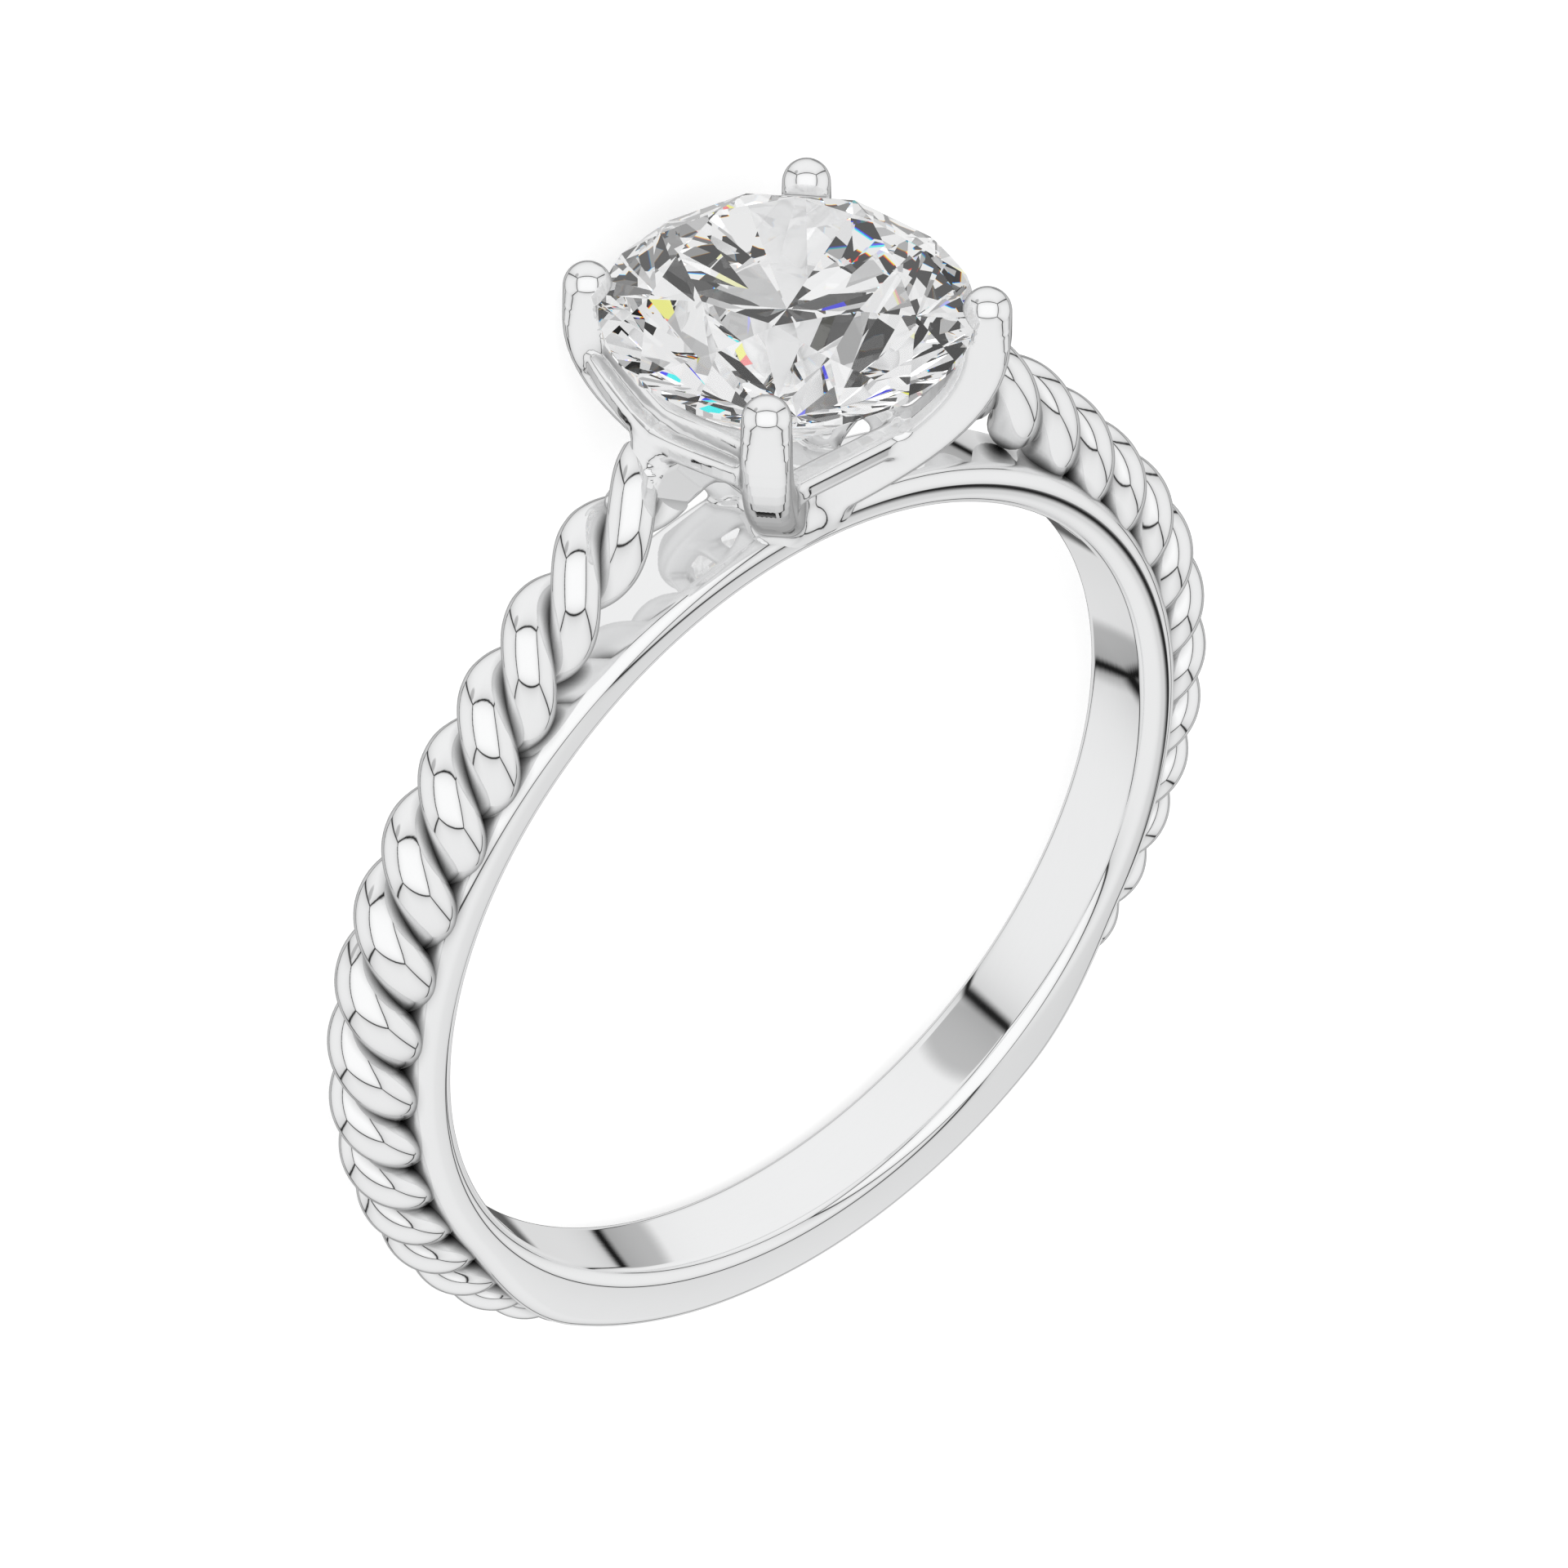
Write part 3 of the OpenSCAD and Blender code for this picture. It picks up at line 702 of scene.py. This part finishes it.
def setting_field(ring):
    """The setting as a distance field in millimetres, drawn in one quarter, with fillets where its bars meet."""
    s, band, stone = ring.setting, ring.band, ring.stone
    prong_r, prong_t, prong_h = s.prong_r / MM, s.prong_t / MM, s.prong_h / MM
    liner_r = (band.bore_r + band.liner_t) / MM
    half = prong_t / 2
    bend_h = prong_h - 0.7 * prong_t
    # A prong leaves the hub outwards, bends up and ends in a rounded tip
    path = bezier([[0.23 * prong_r, liner_r + 0.15, 0], [0.6 * prong_r, liner_r + 1.1, 0],
                   [prong_r, bend_h - 1.3, 0], [prong_r, bend_h, 0]], 18)
    path = np.vstack([path, [[prong_r, (bend_h + prong_h) / 2, 0], [prong_r, prong_h, 0]]])
    corner = np.r_[np.full(len(path) - 2, SQUARISH), 0.8, 1.0] * half
    diagonal = math.sqrt(0.5)
    path = np.c_[path[:, 0] * diagonal, path[:, 1], path[:, 0] * diagonal]
    prong = Bar(path, [-diagonal, 0, diagonal], half, half, corner)

    c = prong_r * diagonal
    rail_h, drop = s.seat_rail_h / MM, s.rail_drop / MM

    def level_bar(points, thickness, steps):
        centres = bezier(points, steps)
        d = unit(np.gradient(centres, axis=0))
        return Bar(centres, np.cross([0, 1, 0], d), thickness / 2, thickness / 2, SQUARISH * thickness / 2)

    seat_rail = level_bar([[c + 0.12, rail_h - drop, -0.1], [c + 0.12, rail_h - 0.8 * drop, c / 4],
                           [c + 0.05, rail_h, c / 2], [c - 0.12, rail_h, c - 0.2]], s.seat_rail_t / MM, 10)
    fork_h = s.fork_h / MM
    fork = level_bar([[c + 0.42, fork_h - drop, -0.1], [c + 0.45, fork_h - 0.3 * drop, c / 3],
                      [c + 0.3, fork_h, 2 * c / 3], [c, fork_h, c - 0.1]], s.fork_t / MM, 12)

    foot, top, reach = liner_r + s.arm_clear / MM, s.arm_h / MM, s.arm_reach / MM
    # Stations along the arm: share of its reach, and its underside and top as shares of its height
    stations = np.array([[0.22, 0, 0.34], [0.31, 0.13, 0.44], [0.44, 0.245, 0.53], [0.56, 0.27, 0.67],
                         [0.65, 0.22, 0.87], [0.72, 0.18, 1], [0.81, 0.155, 0.89], [0.89, 0.17, 0.7],
                         [1, 0.26, 0.46]])
    x = np.linspace(stations[0, 0], stations[-1, 0], 40)
    low, high = (smooth_table(x, stations[:, 0], foot + (top - foot) * stations[:, i]) for i in (1, 2))
    arm_half = s.arm_w / MM / 2
    arm = Bar(np.c_[x * reach, (low + high) / 2, 0 * x], [0, 0, 1], arm_half, (high - low) / 2,
              np.minimum(0.75 * arm_half, 0.9 * (high - low) / 2), along_x=True)

    rail_r, low_rail_h, low_half = s.lower_rail_r / MM, s.lower_rail_h / MM, s.lower_rail_t / MM / 2
    low_rails = [
        Bar([start, [rail_r, low_rail_h, rail_r]], across, low_half, low_half, SQUARISH * low_half)
        for start, across in (([rail_r, low_rail_h, 0], [1, 0, 0]), ([0, low_rail_h, rail_r], [0, 0, 1]))
    ]
    hub_r = s.hub_d / MM / 2
    hub_top = foot + low_half
    hub_low = liner_r - band.liner_t / MM / 2

    # How far the setting's copy of the liner stays under the band's skin
    bury = 0.015
    inner_r, outer_r = band.bore_r / MM, liner_r
    edge = band.edge_r / MM
    side = band.width / MM / 2

    girdle, table_r, stone_r = stone.height / MM, stone.table_r / MM, stone.radius / MM
    girdle_top, gap = stone.girdle_t / MM / 2, stone.gap / MM
    crown, pavilion = stone.crown_h / MM, stone.pavilion_h / MM

    def room(p):
        """Distance to the room that the stone needs, cut out by its crown, pavilion, girdle and table."""
        rho, y = np.hypot(p[:, 0], p[:, 2]), p[:, 1] - girdle
        up = np.array([crown, stone_r - table_r]) / math.hypot(crown, stone_r - table_r)
        down = np.array([pavilion, -stone_r]) / math.hypot(pavilion, stone_r)
        planes = [
            (rho - stone_r) * up[0] + (y - girdle_top) * up[1],
            (rho - stone_r) * down[0] + (y + girdle_top) * down[1],
            rho - stone_r,
            y - girdle_top - crown,
        ]
        return np.maximum.reduce(planes) - gap

    def field(p):
        p = np.c_[np.abs(p[:, 0]), p[:, 1], np.abs(p[:, 2])]
        frame_bars = soft_min(arm(p), fork(p), 0.32)
        frame_bars = soft_min(frame_bars, seat_rail(p), 0.12)
        rho = np.hypot(p[:, 0], p[:, 2])
        hub = soft_max(rho - hub_r, np.maximum(p[:, 1] - hub_top, hub_low - p[:, 1]), 0.2)
        for rail in low_rails:
            hub = soft_min(hub, rail(p), 0.1)
        whole = soft_min(soft_min(prong(p), hub, 0.22), frame_bars, 0.14)
        # The foot of the setting flows into the liner
        r = np.hypot(p[:, 0], p[:, 1])
        e_r = np.abs(r - (inner_r + outer_r) / 2) - ((outer_r - inner_r) / 2 - bury - edge)
        e_z = p[:, 2] - (side - bury - edge)
        liner = np.hypot(np.maximum(e_r, 0), np.maximum(e_z, 0)) + np.minimum(np.maximum(e_r, e_z), 0) - edge
        whole = soft_min(whole, liner, 0.3)
        whole = np.maximum(whole, p[:, 0] - LINER_END)
        return soft_max(whole, -room(p), 0.05)

    return field


def smooth_table(x, xs, ys):
    """Values between a table's, along a curve that keeps its slopes."""
    slopes = np.gradient(ys, xs)
    k = np.clip(np.searchsorted(xs, x) - 1, 0, len(xs) - 2)
    h = xs[k + 1] - xs[k]
    t = (x - xs[k]) / h
    return ((2 * t ** 3 - 3 * t ** 2 + 1) * ys[k] + (t ** 3 - 2 * t ** 2 + t) * h * slopes[k]
            + (3 * t ** 2 - 2 * t ** 3) * ys[k + 1] + (t ** 3 - t ** 2) * h * slopes[k + 1])


def skin_of_field(field, low, high, cell):
    """Points and quads where a field is zero, on a grid of cells, moved to the true surface, and their normals."""
    axes = [np.arange(a, b + cell, cell) for a, b in zip(low, high)]
    shape = [len(a) for a in axes]
    quarter = [axes[0][axes[0] >= -1e-9], axes[1], axes[2][axes[2] >= -1e-9]]
    grid = np.stack(np.meshgrid(*quarter, indexing="ij"), -1).reshape(-1, 3)
    values = field_near_skin(field, grid, [len(a) for a in quarter], cell)
    values = values.reshape([len(a) for a in quarter])
    values = np.concatenate([values[:0:-1], values], 0)
    values = np.concatenate([values[:, :, :0:-1], values], 2)
    assert list(values.shape) == shape, (values.shape, shape)
    inside = values < 0
    cells = [n - 1 for n in shape]
    total = np.zeros((*cells, 3))
    count = np.zeros(cells)
    for axis in range(3):
        near = [slice(None)] * 3
        far = [slice(None)] * 3
        near[axis], far[axis] = slice(0, -1), slice(1, None)
        a, b = values[tuple(near)], values[tuple(far)]
        crossed = (a < 0) != (b < 0)
        t = np.where(crossed, a / np.where(crossed, a - b, 1), 0)
        others = [k for k in range(3) if k != axis]
        for i in (0, 1):
            for j in (0, 1):
                pick = [slice(None)] * 3
                pick[others[0]] = slice(i, cells[others[0]] + i)
                pick[others[1]] = slice(j, cells[others[1]] + j)
                hit, at = crossed[tuple(pick)], t[tuple(pick)]
                count += hit
                total[..., axis] += hit * at
                total[..., others[0]] += hit * i
                total[..., others[1]] += hit * j
    # A cell that the skin passes through gets one point, in the middle of its edges' crossings
    active = count > 0
    number = np.full(cells, -1)
    number[active] = np.arange(active.sum())
    corner = np.argwhere(active)
    points = (corner + total[active] / count[active][:, None]) * cell + np.array([a[0] for a in axes])
    # Each edge of the grid that the skin crosses joins the points of the four cells round it
    quads = []
    for axis in range(3):
        near = [slice(None)] * 3
        far = [slice(None)] * 3
        near[axis], far[axis] = slice(0, -1), slice(1, None)
        a, b = inside[tuple(near)], inside[tuple(far)]
        u, v = (axis + 1) % 3, (axis + 2) % 3
        for leaving in (True, False):
            at = np.argwhere((a & ~b) if leaving else (~a & b))
            at = at[(at[:, u] > 0) & (at[:, v] > 0) & (at[:, u] < cells[u]) & (at[:, v] < cells[v])]
            ring = []
            for du, dv in ((1, 1), (0, 1), (0, 0), (1, 0)):
                q = at.copy()
                q[:, u] -= du
                q[:, v] -= dv
                ring.append(number[q[:, 0], q[:, 1], q[:, 2]])
            ring = np.stack(ring, 1)
            quads.append(ring if leaving else ring[:, ::-1])
    quads = np.concatenate(quads)
    # One quarter of the points is moved, and the others mirror it
    quartered = np.round(np.abs(points) * [1, 0, 1] + points * [0, 1, 0], 6)
    folded, back = np.unique(quartered, axis=0, return_inverse=True)
    sign = np.where(points < 0, -1.0, 1.0) * [1, 0, 1] + [0, 1, 0]
    for turn in range(6):
        if turn % 3 == 0:
            slope = slope_of(field, folded)
        move = in_parts(field, folded) / np.maximum((slope ** 2).sum(1), 0.05)
        folded = folded - np.clip(move, -cell / 2, cell / 2)[:, None] * slope
    normals = unit(slope_of(field, folded))
    back = back.ravel()
    return folded[back] * sign, quads, normals[back] * sign


def field_near_skin(field, grid, shape, cell, block=6):
    """A field's values on a grid, each block of it that lies far from the skin sharing one value."""
    number = np.indices(shape).reshape(3, -1) // block
    blocks = [-(-n // block) for n in shape]
    key = (number[0] * blocks[1] + number[1]) * blocks[2] + number[2]
    count = np.bincount(key)
    middle = np.stack([np.bincount(key, grid[:, k]) / count for k in range(3)], 1)
    coarse = in_parts(field, middle)
    close = (np.abs(coarse) < cell * block)[key]
    values = coarse[key]
    values[close] = in_parts(field, grid[close])
    return values


def in_parts(field, points):
    """A field's values at many points, asked for in parts to save memory."""
    return np.concatenate([field(part) for part in np.array_split(points, max(1, len(points) // POINTS_AT_ONCE))])


def slope_of(field, points, h=0.004):
    """A field's slope along each axis, from its values at a small distance h on both sides."""
    sides = [(in_parts(field, points + h * e) - in_parts(field, points - h * e)) / (2 * h) for e in np.eye(3)]
    return np.stack(sides, 1)


def mesh_with_normals(name, points, faces, normals, matrix, material):
    """A smooth mesh object, laid down by matrix, that keeps the normals of its true surface."""
    mesh = bpy.data.meshes.new(name)
    mesh.from_pydata((points * MM).tolist(), [], faces.tolist())
    mesh.materials.append(material)
    mesh.transform(matrix)
    mesh.update()
    mesh.shade_smooth()
    turned = np.array(matrix.to_3x3()) @ normals.T
    mesh.normals_split_custom_set_from_vertices(turned.T.tolist())
    piece = bpy.data.objects.new(name, mesh)
    bpy.context.scene.collection.objects.link(piece)
    return piece


# ---------------------------------------------------------------- operators

class RING_OT_band(bpy.types.Operator):
    """Builds the band: a thin liner that swells into the plain shank"""
    bl_idname = "ring.band"
    bl_label = "Build band"

    def execute(self, context):
        ring = ring_of(context)
        sizes = band_sizes(ring.band)
        material = metal("polished_band", ring.finish, scale=420.0, bump=0.05, edge=0.8)
        piece = run_tree("band", band_tree(sizes), sizes, material, laying(ring))
        finish_piece(piece, "ring_mount")
        return {"FINISHED"}


class RING_OT_twist(bpy.types.Operator):
    """Builds the strands that twist along both shoulders"""
    bl_idname = "ring.twist"
    bl_label = "Build twist"

    def execute(self, context):
        ring = ring_of(context)
        sizes = twist_sizes(ring.twist, ring.band)
        material = metal("polished_twist", ring.finish, scale=700.0, bump=0.08, edge=0.45)
        piece = run_tree("twist_strands", twist_tree(sizes), sizes, material, laying(ring))
        finish_piece(piece, "ring_mount")
        return {"FINISHED"}


class RING_OT_setting(bpy.types.Operator):
    """Builds the setting: four prongs, their rails, forks and arms, with small fillets between them"""
    bl_idname = "ring.setting"
    bl_label = "Build setting"

    def execute(self, context):
        ring = ring_of(context)
        cell = ring.setting.cell / MM * 1
        half_x, half_z, foot, top = SETTING_GRID
        n, m = math.ceil(half_x / cell), math.ceil(half_z / cell)
        low = (-n * cell, foot, -m * cell)
        high = (n * cell - cell / 2, top, m * cell - cell / 2)
        points, quads, normals = skin_of_field(setting_field(ring), low, high, cell)
        material = metal("polished_setting", ring.finish, scale=600.0, bump=0.05, edge=0.4, own_painted_shade=True)
        piece = mesh_with_normals("setting", points, quads, normals, laying(ring), material)
        finish_piece(piece, "ring_mount")
        return {"FINISHED"}


class RING_OT_stone(bpy.types.Operator):
    """Gives the round brilliant its clear material"""
    bl_idname = "ring.stone"
    bl_label = "Finish stone"

    def execute(self, context):
        ring = ring_of(context)
        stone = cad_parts["round_stone"]
        material = stone_glass(ring.finish)
        stone.data.materials.clear()
        stone.data.materials.append(material)
        return {"FINISHED"}


class RING_OT_stage(bpy.types.Operator):
    """Builds the stage: a pale floor, soft light all round and the camera"""
    bl_idname = "ring.stage"
    bl_label = "Build stage"

    def execute(self, context):
        ring = ring_of(context)
        scene = context.scene
        matrix = laying(ring)
        turn = matrix.to_3x3()
        # The photograph's view in the ring's own axes: away from the ring, to the right and up
        right, up, back = (turn @ axis for axis in view_axes(*(deg(a) for a in VIEW)))
        away, aside, above = VIEW_AWAY
        place = matrix.translation + back * mm(away) + right * mm(aside) + up * mm(above)
        camera = bpy.data.objects.new("camera", bpy.data.cameras.new("camera"))
        camera.data.lens = VIEW_LENS
        camera.data.sensor_width = 36.0
        camera.data.clip_start = 0.005
        camera.data.clip_end = 50.0
        camera.matrix_world = Matrix((
            (right.x, up.x, back.x, place.x), (right.y, up.y, back.y, place.y),
            (right.z, up.z, back.z, place.z), (0, 0, 0, 1)))
        scene.collection.objects.link(camera)
        scene.camera = camera

        floor_mesh = bpy.data.meshes.new("floor")
        level = CAD_BOX[0][2] - FLOOR_DEPTH
        corners = [(x * FLOOR_REACH, y * FLOOR_REACH, level) for x, y in ((-1, -1), (1, -1), (1, 1), (-1, 1))]
        floor_mesh.from_pydata(corners, [], [(0, 1, 2, 3)])
        floor_mesh.materials.append(floor_paint(ring.finish))
        floor = bpy.data.objects.new("floor", floor_mesh)
        scene.collection.objects.link(floor)
        floor.visible_glossy = False
        floor.visible_transmission = False

        light_tent(scene, right, up, back)
        sun = bpy.data.objects.new("key", bpy.data.lights.new("key", "SUN"))
        sun.data.energy = KEY_ENERGY
        sun.data.angle = deg(KEY_ANGLE)
        sun.visible_glossy = False
        sun.visible_transmission = False
        towards = (back * 0.55 + up * 0.7 - right * 0.45 + Vector((0, 0, 0.8))).normalized()
        sun.rotation_euler = towards.to_track_quat("Z", "Y").to_euler()
        scene.collection.objects.link(sun)
        scene.view_settings.view_transform = "Standard"
        scene.view_settings.look = "None"
        return {"FINISHED"}


def view_axes(azimuth, elevation, roll):
    """The camera's right, up and back, in the upright ring's axes."""
    level = math.cos(elevation)
    back = Vector((math.cos(azimuth) * level, math.sin(azimuth) * level, math.sin(elevation)))
    right = Vector((-math.sin(azimuth), math.cos(azimuth), 0.0))
    up = back.cross(right)
    turned_right = right * math.cos(roll) + up * math.sin(roll)
    turned_up = up * math.cos(roll) - right * math.sin(roll)
    return turned_right, turned_up, back


def floor_paint(finish):
    """Pale matt paint that gives a little light of its own."""
    material = bpy.data.materials.new("floor_paint")
    material.use_nodes = True
    net = Net(material.node_tree)
    shader = material.node_tree.nodes["Principled BSDF"]
    grain = net.add("ShaderNodeTexNoise")
    net.put(grain.inputs["Vector"], net.add("ShaderNodeTexCoord").outputs["Object"])
    net.put(grain.inputs["Scale"], 40.0)
    tone = net.plus(net.times(grain.outputs[0], 0.01), finish.floor[0] - 0.005)
    net.put(shader.inputs["Base Color"], net.grey(tone))
    shader.inputs["Roughness"].default_value = 0.8
    shader.inputs["Specular IOR Level"].default_value = 0.1
    shader.inputs["Emission Color"].default_value = (1, 1, 1, 1)
    shader.inputs["Emission Strength"].default_value = FLOOR_LIGHT
    return material


def walls(net, signed, halves, weights, seam):
    """Light of the tent's walls towards a direction: its share along each axis, the walls' half sizes and
    brightness, and for the dark seam between two walls where it begins, where it ends, how bright it stays and
    how much the walls darken towards it."""
    sized = [net.over(net.math("ABSOLUTE", s), h) for s, h in zip(signed, halves)]
    most = net.math("MAXIMUM", net.math("MAXIMUM", sized[0], sized[1]), sized[2])
    least = net.math("MINIMUM", net.math("MINIMUM", sized[0], sized[1]), sized[2])
    middle = net.minus(net.minus(net.plus(net.plus(sized[0], sized[1]), sized[2]), most), least)
    near = net.over(middle, most)
    begins, ends, left, falloff = seam
    dark = net.smooth_range(near, begins, ends, 1.0, left)
    shade = net.minus(1.0, net.times(net.math("POWER", near, 4.0), falloff))
    bright = 0.0
    for size, sign, (ahead, behind) in zip(sized, signed, weights):
        on = net.math("GREATER_THAN", size, net.times(most, 0.9999))
        side = net.math("GREATER_THAN", sign, 0.0)
        bright = net.plus(bright, net.times(on, net.between(behind, ahead, side)))
    return net.times(net.times(bright, shade), dark)


def disc(net, way, towards, radius, strength):
    """A round spot with a soft edge towards a direction."""
    near = net.vector("DOT_PRODUCT", way, Vector(towards).normalized())
    return net.smooth_range(near, math.cos(radius * 1.3), math.cos(radius * 0.7), 0.0, strength)


def light_tent(scene, right, up, back):
    """Soft light from the six white walls of a box, with dark seams where they meet."""
    world = bpy.data.worlds.new("light_tent")
    scene.world = world
    world.use_nodes = True
    tree = world.node_tree
    tree.nodes.clear()
    net = Net(tree)
    way = net.add("ShaderNodeTexCoord").outputs["Generated"]
    signed = [net.vector("DOT_PRODUCT", way, axis) for axis in (right, up, back)]
    metal_light = walls(net, signed, TENT_HALVES, TENT_LIGHT, TENT_SEAM)
    for (aside, above, behind), radius, depth in DARK_SPOTS:
        spot = disc(net, way, right * aside + up * above + back * behind, deg(radius), depth)
        metal_light = net.times(metal_light, net.minus(1.0, spot))
    # Through the stone the tent is broken into bright and dark fields, whose edges part into colours
    fire = bright_fields(net, way, **FIRE_FIELDS)
    path = net.add("ShaderNodeLightPath").outputs
    tent = net.add("ShaderNodeBackground")
    net.put(tent.inputs["Strength"], metal_light)
    tent.inputs["Color"].default_value = (1, 1, 1, 1)
    through = net.add("ShaderNodeBackground")
    net.put(through.inputs["Color"], fire)
    plain = net.add("ShaderNodeBackground")
    plain.inputs["Color"].default_value = (1, 1, 1, 1)
    lights = net.add("ShaderNodeMixShader", path["Is Transmission Ray"], tent.outputs[0], through.outputs[0])
    mixed = net.add("ShaderNodeMixShader", path["Is Camera Ray"], lights.outputs[0], plain.outputs[0])
    out = net.add("ShaderNodeOutputWorld")
    tree.links.new(mixed.outputs[0], out.inputs["Surface"])


STEPS = ("band", "twist", "setting", "stone", "stage")


class RING_PT_panel(bpy.types.Panel):
    """Sizes, colours and steps of the ring."""
    bl_idname = "RING_PT_panel"
    bl_label = "Twisted shank ring"
    bl_space_type = "VIEW_3D"
    bl_region_type = "UI"
    bl_category = "Ring"

    def draw(self, context):
        ring = ring_of(context)
        for group in ("band", "twist", "setting", "stone", "finish"):
            box = self.layout.box()
            box.label(text=group.capitalize())
            part = getattr(ring, group)
            for name in part.__annotations__:
                box.prop(part, name)
        for step in STEPS:
            self.layout.operator(f"ring.{step}")


CLASSES = (
    RING_PG_band, RING_PG_twist, RING_PG_setting, RING_PG_stone, RING_PG_finish, RING_PG_ring,
    RING_OT_band, RING_OT_twist, RING_OT_setting, RING_OT_stone, RING_OT_stage, RING_PT_panel,
)


def register():
    for cls in CLASSES:
        bpy.utils.register_class(cls)
    bpy.types.Scene.twisted_ring = PointerProperty(type=RING_PG_ring)


def unregister():
    del bpy.types.Scene.twisted_ring
    for cls in reversed(CLASSES):
        bpy.utils.unregister_class(cls)


def main():
    register()
    for step in STEPS:
        getattr(bpy.ops.ring, step)()


if __name__ == "__main__":
    main()
